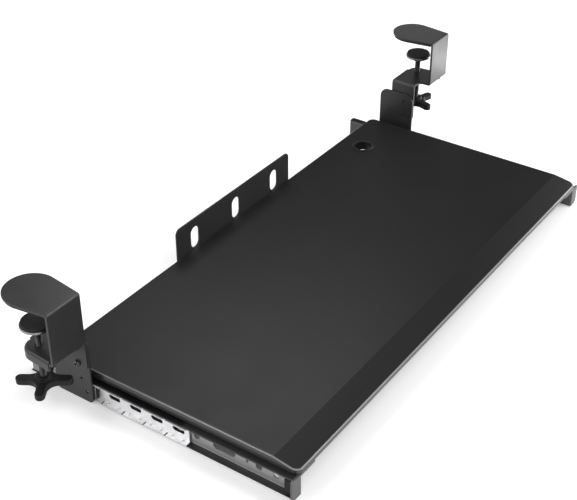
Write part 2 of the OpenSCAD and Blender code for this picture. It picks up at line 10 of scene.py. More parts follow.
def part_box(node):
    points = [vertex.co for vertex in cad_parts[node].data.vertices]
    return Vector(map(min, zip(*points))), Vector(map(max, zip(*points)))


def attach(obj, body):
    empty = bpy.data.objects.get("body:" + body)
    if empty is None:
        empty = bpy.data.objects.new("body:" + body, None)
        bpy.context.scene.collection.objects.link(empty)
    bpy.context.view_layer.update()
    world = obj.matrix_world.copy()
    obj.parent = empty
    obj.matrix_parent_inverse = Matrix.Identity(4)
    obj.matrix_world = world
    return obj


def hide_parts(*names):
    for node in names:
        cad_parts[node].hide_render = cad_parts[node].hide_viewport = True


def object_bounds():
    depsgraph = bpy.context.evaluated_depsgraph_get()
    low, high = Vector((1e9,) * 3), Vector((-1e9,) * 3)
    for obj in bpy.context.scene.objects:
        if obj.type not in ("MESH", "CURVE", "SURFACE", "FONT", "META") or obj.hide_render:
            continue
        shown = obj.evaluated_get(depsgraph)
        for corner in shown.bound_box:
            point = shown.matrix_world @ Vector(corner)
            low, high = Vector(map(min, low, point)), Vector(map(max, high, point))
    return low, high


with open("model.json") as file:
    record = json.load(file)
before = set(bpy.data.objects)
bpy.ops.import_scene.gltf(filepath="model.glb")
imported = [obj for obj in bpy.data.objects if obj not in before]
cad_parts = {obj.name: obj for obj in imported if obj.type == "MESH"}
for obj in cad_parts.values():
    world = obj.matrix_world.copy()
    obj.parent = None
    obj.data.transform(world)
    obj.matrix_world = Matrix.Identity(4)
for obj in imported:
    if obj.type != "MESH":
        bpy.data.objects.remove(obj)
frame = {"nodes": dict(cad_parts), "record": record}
cad_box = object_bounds()

RECORD = frame["record"]
SLOT_OF = {row["node"]: row["material_slot"] for row in RECORD["subparts"]}
BODY_OF = {node: body for body, nodes in RECORD["behaviour"]["bodies"].items() for node in nodes}

# Shapes are worked out in millimetres and stored in metres
MM = 0.001
CUT = 1.0
SLIVER = 0.005
WELD = 0.0001
ARC_STEPS = 10
CIRCLE_STEPS = 40
HEXAGON = 6

# Camera, fitted to the photograph's 577 x 500 frame
PHOTO_W = 577
FOCAL_PX = 1198.35
SENSOR_W = 36.0
CAMERA_AT = (-1.06483, -0.73692, 0.71670)
CAMERA_TILT = 56.302
CAMERA_TURN = -55.5125
CAMERA_CLIP = 0.05


# Outlines

def arc(centre, r, start, end, steps=ARC_STEPS):
    """Points along an arc, with its angles in degrees."""
    turns = [math.radians(start + (end - start) * i / steps) for i in range(steps + 1)]
    return [(centre[0] + r * math.cos(a), centre[1] + r * math.sin(a)) for a in turns]


def circle(centre, r, steps=CIRCLE_STEPS):
    """Points round a circle."""
    return arc(centre, r, 0, 360, steps)[:-1]


def rounded_rect(lo, hi, radii):
    """Rectangle with one radius for each corner, anticlockwise from the low one; 0 is sharp."""
    corners = (
        (lo[0], lo[1], 1, 1),
        (hi[0], lo[1], -1, 1),
        (hi[0], hi[1], -1, -1),
        (lo[0], hi[1], 1, -1),
    )
    points = []
    for i, ((x, y, right, up), r) in enumerate(zip(corners, radii)):
        if r:
            points += arc((x + right * r, y + up * r), r, 180 + 90 * i, 270 + 90 * i)
        else:
            points.append((x, y))
    return points


def oval(centre, length, width, upright=False):
    """Slot with round ends."""
    half = (length - width) / 2
    ends = arc((half, 0), width / 2, -90, 90) + arc((-half, 0), width / 2, 90, 270)
    if upright:
        ends = [(-y, x) for x, y in ends]
    return [(centre[0] + x, centre[1] + y) for x, y in ends]


def folded(points, r, steps=5):
    """Path whose inner corners are arcs of radius r."""
    path = [Vector(points[0])]
    for before, corner, after in zip(points, points[1:], points[2:]):
        corner = Vector(corner)
        back = (Vector(before) - corner).normalized()
        on = (Vector(after) - corner).normalized()
        half = back.angle(on) / 2
        centre = corner + (back + on).normalized() * r / math.sin(half)
        first = corner + back * r / math.tan(half) - centre
        sweep = first.angle_signed(corner + on * r / math.tan(half) - centre)
        path += [centre + Matrix.Rotation(-sweep * i / steps, 2) @ first for i in range(steps + 1)]
    path.append(Vector(points[-1]))
    return path


def sheet_outline(path, t):
    """Closed outline of a sheet of thickness t whose middle follows a path."""
    sides = []
    for i, point in enumerate(path):
        back = (point - path[i - 1]).normalized() if i else (path[1] - point).normalized()
        on = (path[i + 1] - point).normalized() if i + 1 < len(path) else back
        normal = Vector((-(back + on).y, (back + on).x)).normalized()
        sides.append(normal * t / 2 / math.cos(back.angle(on, 0) / 2))
    return [p + s for p, s in zip(path, sides)] + [p - s for p, s in zip(path[::-1], sides[::-1])]


def touch_angle(point, centre, r):
    """Angle of the point where a line from point touches a circle, on the line's left."""
    away = Vector(point) - Vector(centre)
    return math.degrees(math.atan2(away.y, away.x) + math.acos(r / away.length))


# Solids

PLACE = {
    "X": lambda u, v, w: (w, u, v),
    "Y": lambda u, v, w: (u, w, v),
    "Z": lambda u, v, w: (u, v, w),
}


def added(name, data):
    """A new object in the scene."""
    made = bpy.data.objects.new(name, data)
    bpy.context.scene.collection.objects.link(made)
    return made


def to_piece(verts, faces):
    """Mesh object from points in millimetres, with its faces turned outwards."""
    mesh = bpy.data.meshes.new("piece")
    mesh.from_pydata([Vector(v) * MM for v in verts], [], faces)
    work = bmesh.new()
    work.from_mesh(mesh)
    bmesh.ops.remove_doubles(work, verts=work.verts, dist=WELD * MM)
    bmesh.ops.recalc_face_normals(work, faces=work.faces)
    work.to_mesh(mesh)
    work.free()
    return added("piece", mesh)


def prism(outline, low, high, axis):
    """Outline in the plane across an axis, drawn out along that axis."""
    place = PLACE[axis]
    count = len(outline)
    verts = [place(u, v, w) for w in (low, high) for u, v in outline]
    sides = [(i, (i + 1) % count, count + (i + 1) % count, count + i) for i in range(count)]
    return to_piece(verts, [tuple(range(count)), tuple(range(count, 2 * count)), *sides])


def bent_sheet(corners, t, r, low, high, axis):
    """Sheet of thickness t whose middle rounds its corners with radius r, drawn out along an axis."""
    return prism(sheet_outline(folded(corners, r), t), low, high, axis)


def block(lo, hi):
    """Box between two corners."""
    return prism([(lo[0], lo[1]), (hi[0], lo[1]), (hi[0], hi[1]), (lo[0], hi[1])], lo[2], hi[2], "Z")


def lathe(profile, centre, axis="Z", steps=CIRCLE_STEPS):
    """Closed (radius, height) profile turned about an axis through centre."""
    verts, rings = [], []
    for r, h in profile:
        ring = circle((0, 0), r, steps) if r else [(0, 0)]
        rings.append(range(len(verts), len(verts) + len(ring)))
        verts += [Vector(PLACE[axis](u, v, h)) + Vector(centre) for u, v in ring]
    faces = []
    for a, b in zip(rings, rings[1:] + rings[:1]):
        if len(a) + len(b) == 2:
            continue
        for i in range(steps):
            j = (i + 1) % steps
            corners = (a[i % len(a)], a[j % len(a)], b[j % len(b)], b[i % len(b)])
            faces.append(tuple(dict.fromkeys(corners)))
    return to_piece(verts, faces)


def joined(pieces):
    """The pieces' meshes in one object."""
    work = bmesh.new()
    for piece in pieces:
        work.from_mesh(piece.data)
    work.to_mesh(pieces[0].data)
    work.free()
    for piece in pieces[1:]:
        bpy.data.objects.remove(piece)
    return pieces[0]


def carve(piece, tools, operation="DIFFERENCE"):
    """Cuts the tools out of a piece, unites them with it or keeps what both fill."""
    tool = joined(tools)
    modifier = piece.modifiers.new("carve", "BOOLEAN")
    modifier.operation = operation
    modifier.solver = "EXACT"
    modifier.object = tool
    settle(piece)
    bpy.data.objects.remove(tool)
    drop_slivers(piece.data)


def settle(piece):
    """Turns a piece's modifiers into plain mesh."""
    graph = bpy.context.evaluated_depsgraph_get()
    mesh = bpy.data.meshes.new_from_object(piece.evaluated_get(graph))
    piece.modifiers.clear()
    piece.data = mesh


def drop_slivers(mesh):
    """Merges points that a cut has left almost on top of each other."""
    work = bmesh.new()
    work.from_mesh(mesh)
    bmesh.ops.remove_doubles(work, verts=work.verts, dist=SLIVER * MM)
    bmesh.ops.dissolve_degenerate(work, edges=work.edges, dist=SLIVER * MM)
    loose = [vert for vert in work.verts if not vert.link_faces]
    bmesh.ops.delete(work, geom=loose, context="VERTS")
    work.to_mesh(mesh)
    work.free()


def copied(piece, offset=(0, 0, 0)):
    """A copy of a bare piece, shifted by an offset in millimetres."""
    twin = added("piece", piece.data.copy())
    twin.data.transform(Matrix.Translation(Vector(offset) * MM))
    return twin


def mirrored(piece):
    """A copy on the left-hand side."""
    twin = copied(piece)
    twin.data.transform(Matrix.Scale(-1, 4, (1, 0, 0)))
    twin.data.flip_normals()
    return twin


def drill(axis, centre, r, low, high):
    """Round bar along an axis, mostly to cut a hole with."""
    return prism(circle(centre, r), low, high, axis)


def span(node):
    """A node's lowest and highest corners, in millimetres."""
    lo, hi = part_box(node)
    return lo / MM, hi / MM


def centre_of(node):
    """Middle of a node's box in plan, in millimetres."""
    lo, hi = span(node)
    return (lo.x + hi.x) / 2, (lo.y + hi.y) / 2


def slide_middle():
    """Height of the middle of the slides."""
    lo, hi = span("right_slide_channel")
    return (lo.z + hi.z) / 2


# Materials

# Painted light on the channel, by distance from its middle and along the balls' run: a painted highlight
# line near the web's edges, painted shade on the folds, flanges and lips, and painted shade behind the
# cage's front end
FLANGE_SHADE_TONE = 0.09
FOLD_HIGHLIGHT_TONE = 2.1
CHANNEL_PAINTED_TONES = ((0, 1), (10.6, 1), (10.7, FOLD_HIGHLIGHT_TONE), (11.7, FOLD_HIGHLIGHT_TONE), (11.8, FLANGE_SHADE_TONE))
CHANNEL_HALF = 20
CAGE_SHADE_TONE = 0.16
RUN_FROM = 3
RUN_FULL = 8

# Painted highlight on the edge band's rounded arris, by how far its surface faces up
EDGE_TONE = 0.03
ARRIS_HIGHLIGHT_TONE = 0.24
ARRIS_HIGHLIGHT_STOPS = (
    (0, EDGE_TONE), (0.15, EDGE_TONE), (0.4, ARRIS_HIGHLIGHT_TONE),
    (0.8, ARRIS_HIGHLIGHT_TONE), (0.96, EDGE_TONE), (1, EDGE_TONE),
)

NOISE_MIDDLE = (0.3, 0.7)
DRAWN = (6, 0.25, 14)
DRAWN_FINE = (1, 0.05, 1)
SPANGLE_SCALE = 350


def shader_of(made):
    """A material's main shader."""
    return made.node_tree.nodes["Principled BSDF"]


def surface(name, base, metallic, roughness, specular=0.5):
    """Principled material with its plain values set."""
    made = bpy.data.materials.new(name)
    made.use_nodes = True
    shader = shader_of(made)
    shader.inputs["Base Color"].default_value = (*base, 1)
    shader.inputs["Metallic"].default_value = metallic
    shader.inputs["Roughness"].default_value = roughness
    shader.inputs["Specular IOR Level"].default_value = specular
    return made


def map_range(tree, value, source, target):
    """A node value taken from one range to another."""
    node = tree.nodes.new("ShaderNodeMapRange")
    ends = ("From Min", "From Max", "To Min", "To Max")
    for end, number in zip(ends, (*source, *target)):
        node.inputs[end].default_value = number
    tree.links.new(value, node.inputs["Value"])
    return node.outputs["Result"]


def maths(tree, operation, *terms):
    """Result of an operation on node values and plain numbers."""
    node = tree.nodes.new("ShaderNodeMath")
    node.operation = operation
    for entry, term in zip(node.inputs, terms):
        if isinstance(term, bpy.types.NodeSocket):
            tree.links.new(term, entry)
        else:
            entry.default_value = term
    return node.outputs["Value"]


def place_in(tree, kind):
    """Node vector of a kind of texture coordinate."""
    return tree.nodes.new("ShaderNodeTexCoord").outputs[kind]


def coordinates(tree, kind):
    """The three node values of a kind of texture coordinate."""
    split = tree.nodes.new("ShaderNodeSeparateXYZ")
    tree.links.new(place_in(tree, kind), split.inputs["Vector"])
    return split.outputs


def noise(made, scale, detail=2.0, stretch=(1, 1, 1)):
    """Noise in the part's own frame, with features of about 1 / scale metres."""
    tree = made.node_tree
    mapping = tree.nodes.new("ShaderNodeMapping")
    mapping.inputs["Scale"].default_value = stretch
    texture = tree.nodes.new("ShaderNodeTexNoise")
    texture.inputs["Scale"].default_value = scale
    texture.inputs["Detail"].default_value = detail
    tree.links.new(place_in(tree, "Object"), mapping.inputs["Vector"])
    tree.links.new(mapping.outputs["Vector"], texture.inputs["Vector"])
    return texture.outputs["Fac"]


def ranged(made, value, low, high):
    """Spreads the middle of a noise over a range."""
    return map_range(made.node_tree, value, NOISE_MIDDLE, (low, high))


def mottle(made, dark, light, value):
    """Base colour that wanders between two tones."""
    tree = made.node_tree
    mix = tree.nodes.new("ShaderNodeMix")
    mix.data_type = "RGBA"
    mix.inputs["A"].default_value = (*dark, 1)
    mix.inputs["B"].default_value = (*light, 1)
    tree.links.new(ranged(made, value, 0, 1), mix.inputs["Factor"])
    tree.links.new(mix.outputs["Result"], shader_of(made).inputs["Base Color"])


def uneven_gloss(made, low, high, value):
    """Roughness that wanders between two values."""
    made.node_tree.links.new(ranged(made, value, low, high), shader_of(made).inputs["Roughness"])


def grain(made, height, value):
    """Raised grain of a height in metres."""
    bump = made.node_tree.nodes.new("ShaderNodeBump")
    bump.inputs["Distance"].default_value = height
    made.node_tree.links.new(value, bump.inputs["Height"])
    made.node_tree.links.new(bump.outputs["Normal"], shader_of(made).inputs["Normal"])


def grey(value, blue=0.0):
    """A grey, with a share of blue on top."""
    return (value, value, value * (1 + blue))


def times(made, tone):
    """Multiplies the base colour by a tone."""
    links = made.node_tree.links
    colour = shader_of(made).inputs["Base Color"]
    mix = made.node_tree.nodes.new("ShaderNodeMix")
    mix.data_type = "RGBA"
    mix.blend_type = "MULTIPLY"
    mix.inputs["Factor"].default_value = 1
    links.new(tone, mix.inputs["A"])
    links.new(colour.links[0].from_socket, mix.inputs["B"])
    links.new(mix.outputs["Result"], colour)


def tone_ramp(made, value, stops):
    """Tone that changes with a value, through stops of (value, tone)."""
    ramp = made.node_tree.nodes.new("ShaderNodeValToRGB")
    made.node_tree.links.new(value, ramp.inputs["Fac"])
    points = ramp.color_ramp.elements
    while len(points) < len(stops):
        points.new(0.5)
    for point, (at, tone) in zip(points, stops):
        point.position = at
        point.color = (*grey(tone), 1)
    return ramp.outputs["Color"]


def laminate():
    """Black laminate with a fine pebbled skin."""
    made = surface("laminate", grey(0.008), metallic=0, roughness=0.42, specular=0.22)
    mottle(made, grey(0.007, 0.02), grey(0.009, 0.03), noise(made, scale=900, detail=3))
    uneven_gloss(made, 0.4, 0.44, noise(made, scale=18, detail=3))
    grain(made, 0.03 * MM, noise(made, scale=1400, detail=3))
    return made


def edge_band():
    """Glossy black band round the board, with a painted highlight on its rounded arris."""
    made = surface("edge_band", grey(0.02), metallic=0, roughness=0.22, specular=0.55)
    mottle(made, grey(0.94), grey(1, 0.02), noise(made, scale=1200, detail=2))
    # Painted highlight where the surface slopes between side and top
    times(made, tone_ramp(made, coordinates(made.node_tree, "Normal")["Z"], ARRIS_HIGHLIGHT_STOPS))
    uneven_gloss(made, 0.22, 0.26, noise(made, scale=25, detail=2))
    return made


def black_coat():
    """Black powder coat with a satin, slightly rippled skin."""
    made = surface("black_coat", grey(0.02), metallic=0, roughness=0.36, specular=0.42)
    mottle(made, grey(0.018, 0.02), grey(0.022, 0.03), noise(made, scale=700, detail=3))
    uneven_gloss(made, 0.32, 0.4, noise(made, scale=40, detail=2))
    grain(made, 0.03 * MM, noise(made, scale=800, detail=2))
    return made


def grey_paint():
    """Dark grey paint with a satin skin."""
    made = surface("grey_paint", grey(0.085), metallic=0, roughness=0.4, specular=0.5)
    mottle(made, grey(0.075, 0.02), grey(0.095, 0.03), noise(made, scale=500, detail=3))
    uneven_gloss(made, 0.34, 0.46, noise(made, scale=40, detail=2))
    grain(made, 0.03 * MM, noise(made, scale=800, detail=2))
    return made


def channel_steel():
    """Plated steel with a painted highlight line near the web's edges, painted shade on the flanges and
    lips, and painted shade along the balls' run behind the cage's front end.
    """
    made = surface("channel_steel", grey(0.42), metallic=0.5, roughness=0.46)
    tree = made.node_tree
    streaks = noise(made, scale=60, detail=4, stretch=DRAWN)
    mottle(made, grey(0.4, 0.02), grey(0.45, 0.03), streaks)
    uneven_gloss(made, 0.42, 0.5, streaks)
    at = coordinates(tree, "Object")
    # Painted highlight line near the web's edges and painted shade on the folds, flanges and lips, by
    # height from the channel's middle
    apart = maths(tree, "ABSOLUTE", maths(tree, "SUBTRACT", at["Z"], slide_middle() * MM))
    share = maths(tree, "DIVIDE", apart, CHANNEL_HALF * MM)
    times(made, tone_ramp(made, share, [(z / CHANNEL_HALF, tone) for z, tone in CHANNEL_PAINTED_TONES]))
    # Painted shade on the channel from a little behind the cage's front end to its back, where the cage
    # shades the web
    cage_front = span("right_ball_cage")[0].y
    run = ((cage_front + RUN_FROM) * MM, (cage_front + RUN_FULL) * MM)
    times(made, map_range(tree, at["Y"], run, (1, CAGE_SHADE_TONE)))
    return made


def grey_steel():
    """Rolled steel with a dull plated skin, drawn along the slides."""
    made = surface("grey_steel", grey(0.24), metallic=1, roughness=0.32)
    streaks = noise(made, scale=60, detail=4, stretch=DRAWN)
    mottle(made, grey(0.225, 0.02), grey(0.255, 0.03), streaks)
    uneven_gloss(made, 0.28, 0.36, streaks)
    grain(made, 0.01 * MM, noise(made, scale=900, detail=2, stretch=DRAWN_FINE))
    return made


def zinc():
    """Bright zinc plate with a faint spangle."""
    made = surface("zinc", grey(0.9), metallic=0.5, roughness=0.42)
    tree = made.node_tree
    cells = tree.nodes.new("ShaderNodeTexVoronoi")
    cells.inputs["Scale"].default_value = SPANGLE_SCALE
    tree.links.new(place_in(tree, "Object"), cells.inputs["Vector"])
    mottle(made, grey(0.87, 0.01), grey(0.93, 0.015), cells.outputs["Distance"])
    uneven_gloss(made, 0.38, 0.46, noise(made, scale=120, detail=3))
    grain(made, 0.01 * MM, noise(made, scale=1200, detail=2))
    return made


def ball_steel():
    """Hardened steel, almost a mirror."""
    made = surface("ball_steel", grey(0.75, 0.02), metallic=1, roughness=0.08)
    uneven_gloss(made, 0.05, 0.12, noise(made, scale=900, detail=2))
    return made


def black_plastic():
    """Moulded black plastic with a spark-eroded grain."""
    made = surface("black_plastic", grey(0.007), metallic=0, roughness=0.42, specular=0.22)
    mottle(made, grey(0.006), grey(0.008, 0.03), noise(made, scale=500, detail=2))
    uneven_gloss(made, 0.36, 0.5, noise(made, scale=90, detail=2))
    grain(made, 0.04 * MM, noise(made, scale=1300, detail=3))
    return made


def rubber():
    """Matt black rubber."""
    made = surface("rubber", grey(0.02), metallic=0, roughness=0.8, specular=0.3)
    mottle(made, grey(0.016), grey(0.026), noise(made, scale=600, detail=4))
    uneven_gloss(made, 0.72, 0.88, noise(made, scale=60, detail=2))
    grain(made, 0.08 * MM, noise(made, scale=1100, detail=4))
    return made


def fastener_steel():
    """Plain bright steel."""
    made = surface("fastener_steel", grey(0.46), metallic=1, roughness=0.28)
    mottle(made, grey(0.40, 0.02), grey(0.52, 0.04), noise(made, scale=300, detail=3))
    uneven_gloss(made, 0.22, 0.36, noise(made, scale=250, detail=2))
    return made


def dark_steel():
    """Phosphated steel, dark and a little oily."""
    made = surface("dark_steel", grey(0.045), metallic=1, roughness=0.36)
    mottle(made, grey(0.038, 0.02), grey(0.052, 0.03), noise(made, scale=350, detail=3))
    uneven_gloss(made, 0.3, 0.42, noise(made, scale=250, detail=2))
    return made


def fastener_black():
    """Black oxide with a wet gloss."""
    made = surface("fastener_black", grey(0.02), metallic=0, roughness=0.26, specular=0.7)
    mottle(made, grey(0.016), grey(0.026, 0.04), noise(made, scale=400, detail=2))
    uneven_gloss(made, 0.2, 0.32, noise(made, scale=300, detail=2))
    return made


MATERIALS = {
    make.__name__: make()
    for make in (
        laminate, edge_band, black_coat, grey_paint, channel_steel, grey_steel,
        zinc, ball_steel, black_plastic, rubber, fastener_steel, dark_steel, fastener_black,
    )
}


# Dressing

CRISP_ANGLE = math.radians(30)


def soften(piece, width, segments=2, angle=35):
    """Rounds the edges of a piece, and keeps its flats flat in the light."""
    piece.data.shade_smooth()
    bevel = piece.modifiers.new("soft_edges", "BEVEL")
    bevel.width = width * MM
    bevel.segments = segments
    bevel.limit_method = "ANGLE"
    bevel.angle_limit = math.radians(angle)
    bevel.use_clamp_overlap = False
    flat_faces(piece)


def crisp(piece):
    """Smooth rounds that meet at sharp edges, for small or thin pieces."""
    piece.data.shade_smooth()
    piece.data.set_sharp_from_angle(angle=CRISP_ANGLE)
    flat_faces(piece)


def flat_faces(piece):
    """Lets the large faces set the shading at a piece's edges."""
    normals = piece.modifiers.new("flat_faces", "WEIGHTED_NORMAL")
    normals.keep_sharp = True


def dress(piece, node, finish=None):
    """Gives a piece the finish and the body of the node it stands for, names it after that node and hides
    the node.
    """
    piece.name = node + "_skin"
    piece.data.name = piece.name
    piece.data.materials.clear()
    piece.data.materials.append(MATERIALS[finish or SLOT_OF[node]])
    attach(piece, BODY_OF[node])
    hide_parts(node)


def dress_pair(piece, kind, finish=None):
    """A right-hand piece and its mirror image."""
    dress(mirrored_with_modifiers(piece), "left_" + kind, finish)
    dress(piece, "right_" + kind, finish)


def mirrored_with_modifiers(piece):
    """A mirror image with the same kind of edges."""
    twin = mirrored(piece)
    for modifier in piece.modifiers:
        if modifier.type == "BEVEL":
            soften(twin, modifier.width / MM, modifier.segments, math.degrees(modifier.angle_limit))
    if not twin.modifiers:
        crisp(twin)
    return twin


# Tray

BOARD_CORNER_R = 9
BEVEL_RUN = 31
BEVEL_DROP = 5
BOARD_EDGE = 1.8
CREASE_EDGE = 0.4
CREASE_ANGLE = math.radians(3)
FOLD_ANGLE = math.radians(35)
BOARD_EDGE_STEPS = 4
SIDE_SLOPE = 0.5
STRAIGHT = 0.999
EVEN_ROUND = 0.5
BARREL_R = 13.6
BORE_R = 12
RIM_T = 2.5
RIM_BEVEL_RUN = 1.0
RIM_BEVEL_DROP = 0.8
RIM_MOUTH = ((1.6, 0), (1.1, 0.7), (0, 0.9))
HOLE_CLEAR = 0.15


def board():
    """Board with a sloping front strip and a stepped hole for the grommet."""
    lo, hi = span("tray_board")
    piece = prism(rounded_rect(lo, hi, [BOARD_CORNER_R] * 4), lo.z, hi.z, "Z")
    slope = [
        (lo.y + BEVEL_RUN, hi.z),
        (lo.y - BEVEL_RUN, hi.z - 2 * BEVEL_DROP),
        (lo.y - BEVEL_RUN, hi.z + CUT),
        (lo.y + BEVEL_RUN, hi.z + CUT),
    ]
    strip = prism(slope, lo.x - CUT, hi.x + CUT, "X")
    rim_lo, rim_hi = span("cable_grommet")
    hole = drill("Z", centre_of("cable_grommet"), BARREL_R + HOLE_CLEAR, lo.z - CUT, hi.z + CUT)
    seat_r = (rim_hi.x - rim_lo.x) / 2 + HOLE_CLEAR
    seat = drill("Z", centre_of("cable_grommet"), seat_r, rim_hi.z - RIM_T, hi.z + CUT)
    for tool in (strip, hole, seat):
        carve(piece, [tool])
    dress(piece, "tray_board")
    piece.data.materials.append(MATERIALS["edge_band"])
    trim_edges(piece, seat_r)
    piece.data.shade_smooth()
    flat_faces(piece)


def trim_edges(piece, seat_r):
    """Softens the board's crease, and rounds its outer edges into an edge band."""
    work = bmesh.new()
    work.from_mesh(piece.data)
    for face in work.faces:
        face.material_index = 1 if abs(face.normal.z) < SIDE_SLOPE else 0
    crease = []
    for edge in work.edges:
        along = abs((edge.verts[0].co - edge.verts[1].co).normalized().x) > STRAIGHT
        if along and CREASE_ANGLE < edge.calc_face_angle(0) < FOLD_ANGLE:
            crease.append(edge)
    round_edges(work, crease, CREASE_EDGE, 1, 0)
    centre = Vector(centre_of("cable_grommet"))
    rim = []
    for edge in work.edges:
        outside = (edge.verts[0].co.xy / MM - centre).length > seat_r + CUT
        if outside and edge.calc_face_angle(0) > FOLD_ANGLE:
            rim.append(edge)
    round_edges(work, rim, BOARD_EDGE, BOARD_EDGE_STEPS, 1)
    work.to_mesh(piece.data)
    work.free()


def round_edges(work, edges, width, segments, material):
    """Bevels edges, and gives the new faces one of the piece's materials."""
    bmesh.ops.bevel(
        work, geom=edges, offset=width * MM, offset_type="OFFSET", segments=segments,
        profile=EVEN_ROUND, affect="EDGES", material=material, clamp_overlap=False,
    )


def grommet():
    """Ring with a flat rim and a rounded mouth."""
    lo, hi = span("cable_grommet")
    seat = hi.z - RIM_T
    rim = (hi.x - lo.x) / 2
    profile = [
        (BORE_R, lo.z), (BARREL_R, lo.z), (BARREL_R, seat), (rim, seat),
        (rim, hi.z - RIM_BEVEL_DROP), (rim - RIM_BEVEL_RUN, hi.z),
    ]
    profile += [(BORE_R + out, hi.z - down) for out, down in RIM_MOUTH]
    piece = lathe(profile, (*centre_of("cable_grommet"), 0), steps=64)
    soften(piece, width=0.35, segments=3, angle=20)
    dress(piece, "cable_grommet")


STOP_T = 2
STOP_CORNER_R = 8
STOP_FOLD_R = 1.2
SLOT_W = 16
SLOT_H = 30
SLOT_PITCH = 86


def back_stop():
    """Folded sheet with round upper corners and three upright slots."""
    lo, hi = span("back_stop")
    half = STOP_T / 2
    corners = [(lo.y, lo.z + half), (hi.y - half, lo.z + half), (hi.y - half, hi.z + CUT)]
    piece = bent_sheet(corners, STOP_T, STOP_FOLD_R, lo.x - CUT, hi.x + CUT, "X")
    outline = rounded_rect((lo.x, lo.z - CUT), (hi.x, hi.z), [0, 0, STOP_CORNER_R, STOP_CORNER_R])
    carve(piece, [prism(outline, lo.y - CUT, hi.y + CUT, "Y")], "INTERSECT")
    middle_z = span("tray_board")[1].z + SLOT_H / 2
    slots = [oval((i * SLOT_PITCH, middle_z), SLOT_H, SLOT_W, True) for i in (-1, 0, 1)]
    carve(piece, [prism(slot, hi.y - STOP_T - CUT, hi.y + CUT, "Y") for slot in slots])
    soften(piece, width=0.4)
    dress(piece, "back_stop")


# Screws

PAN_SHANK = ((0, -1), (0.6, -1), (1, -0.9), (1, 0))
PAN_DOME = ((1, 0), (1, 0.45), (0.8, 0.85), (0.4, 1), (0, 1))
PAN_STEPS = 28
RECESS_SHARE = 0.55
RECESS_SLIMNESS = 5
WOOD_HEAD_R = 4
WOOD_SHANK_R = 2
SCREWS_IN_ROW = 3


def cross_recess(centre, r, low, high, axis):
    """Two crossed bars that cut a screw head's recess."""
    width = r / RECESS_SLIMNESS
    long_bar = [(-r, -width), (r, -width), (r, width), (-r, width)]
    arms = [long_bar, [(-v, u) for u, v in long_bar]]
    u0, v0 = centre
    return [prism([(u0 + u, v0 + v) for u, v in arm], low, high, axis) for arm in arms]


def pan_screw(axis, base, up, head_r, head_h, shank_r, shank_l):
    """Screw with a domed head that stands on base, and a shank the other way; up is 1 or -1."""
    profile = [(r * shank_r, up * h * shank_l) for r, h in PAN_SHANK]
    profile += [(r * head_r, up * h * head_h) for r, h in PAN_DOME]
    piece = lathe(profile, base, axis, PAN_STEPS)
    along = "XYZ".index(axis)
    across = [base[i] for i in range(3) if i != along]
    top = base[along] + up * head_h
    ends = sorted((top - up * RECESS_SHARE * head_h, top + up * CUT))
    for bar in cross_recess(across, RECESS_SHARE * head_r, *ends, axis):
        carve(piece, [bar])
    return piece


def board_screws(node, places, sheet_low):
    """Wood screws driven up through a sheet into the board."""
    lo, hi = span(node)
    first = pan_screw(
        "Z", (*places[0], sheet_low), -1,
        WOOD_HEAD_R, sheet_low - lo.z, WOOD_SHANK_R, hi.z - sheet_low,
    )
    start = Vector((*places[0], 0))
    rest = [copied(first, Vector((*place, 0)) - start) for place in places[1:]]
    return joined([first, *rest])


def row_centres(node, count):
    """Centres of a row of like screws along the longer side of their node's box."""
    lo, hi = span(node)
    along = 0 if hi.x - lo.x > hi.y - lo.y else 1
    r = (hi[1 - along] - lo[1 - along]) / 2
    ends = lo[along] + r, hi[along] - r
    centres = []
    for i in range(count):
        point = list(centre_of(node))
        point[along] = ends[0] + (ends[1] - ends[0]) * i / (count - 1)
        centres.append(tuple(point))
    return centres


def wood_screws():
    """Screws that hold the back stop and the brackets to the board."""
    places = row_centres("back_stop_screws", SCREWS_IN_ROW)
    stop = board_screws("back_stop_screws", places, span("back_stop")[0].z)
    crisp(stop)
    dress(stop, "back_stop_screws")
    places = row_centres("right_bracket_screws", SCREWS_IN_ROW)
    rows = board_screws("right_bracket_screws", places, span("tray_board")[0].z - BRACKET_T)
    crisp(rows)
    dress_pair(rows, "bracket_screws")


CHANNEL_SCREW_AT = (25, 150, 270)
SLIDE_SCREW_R = 2
SLIDE_HEAD_R = 3.5
SLIDE_HEAD_H = 1.2
RAIL_SCREW_INSET = 8
SCREW_TIP_GAP = 1.2


def slide_screw_row(kind, base, up, shank_l, places):
    """Low-headed screws in a row along a slide."""
    start = (base, places[0], slide_middle())
    first = pan_screw("X", start, up, SLIDE_HEAD_R, SLIDE_HEAD_H, SLIDE_SCREW_R, shank_l)
    rest = [copied(first, (0, y - places[0], 0)) for y in places[1:]]
    screws = joined([first, *rest])
    crisp(screws)
    dress_pair(screws, kind)


def slide_screws():
    """Screws that hold the channels to the brackets and the fixed rails to the hangers."""
    lo, hi = span("right_channel_screws")
    front = span("right_slide_channel")[0].y
    base = hi.x - SLIDE_HEAD_H
    slide_screw_row("channel_screws", base, 1, base - lo.x, [front + at for at in CHANNEL_SCREW_AT])
    lo, hi = span("right_rail_screws")
    plate = span("right_hanger_plate")
    base = lo.x + SLIDE_HEAD_H
    ends = [plate[0].y + RAIL_SCREW_INSET, plate[1].y - RAIL_SCREW_INSET]
    slide_screw_row("rail_screws", base, -1, hi.x - base - SCREW_TIP_GAP, ends)


# Slides

BRACKET_T = 2.5
BRACKET_FOLD_R = 1.8
END_PLATE_R = 6
END_PLATE_TOP_R = 0.6
SLIDE_T = 1.2
SLIDE_LIP_H = 1.5
SLIDE_FOLD_R = 0.8
CHANNEL_HOLE_AT = (47, 128)
CHANNEL_HOLE_R = 4
CHANNEL_PILOT_AT = 62
CHANNEL_PILOT_R = 1.75
CHANNEL_SLOT_AT = 77
CHANNEL_SLOT_L = 29
CHANNEL_SLOT_H = 9


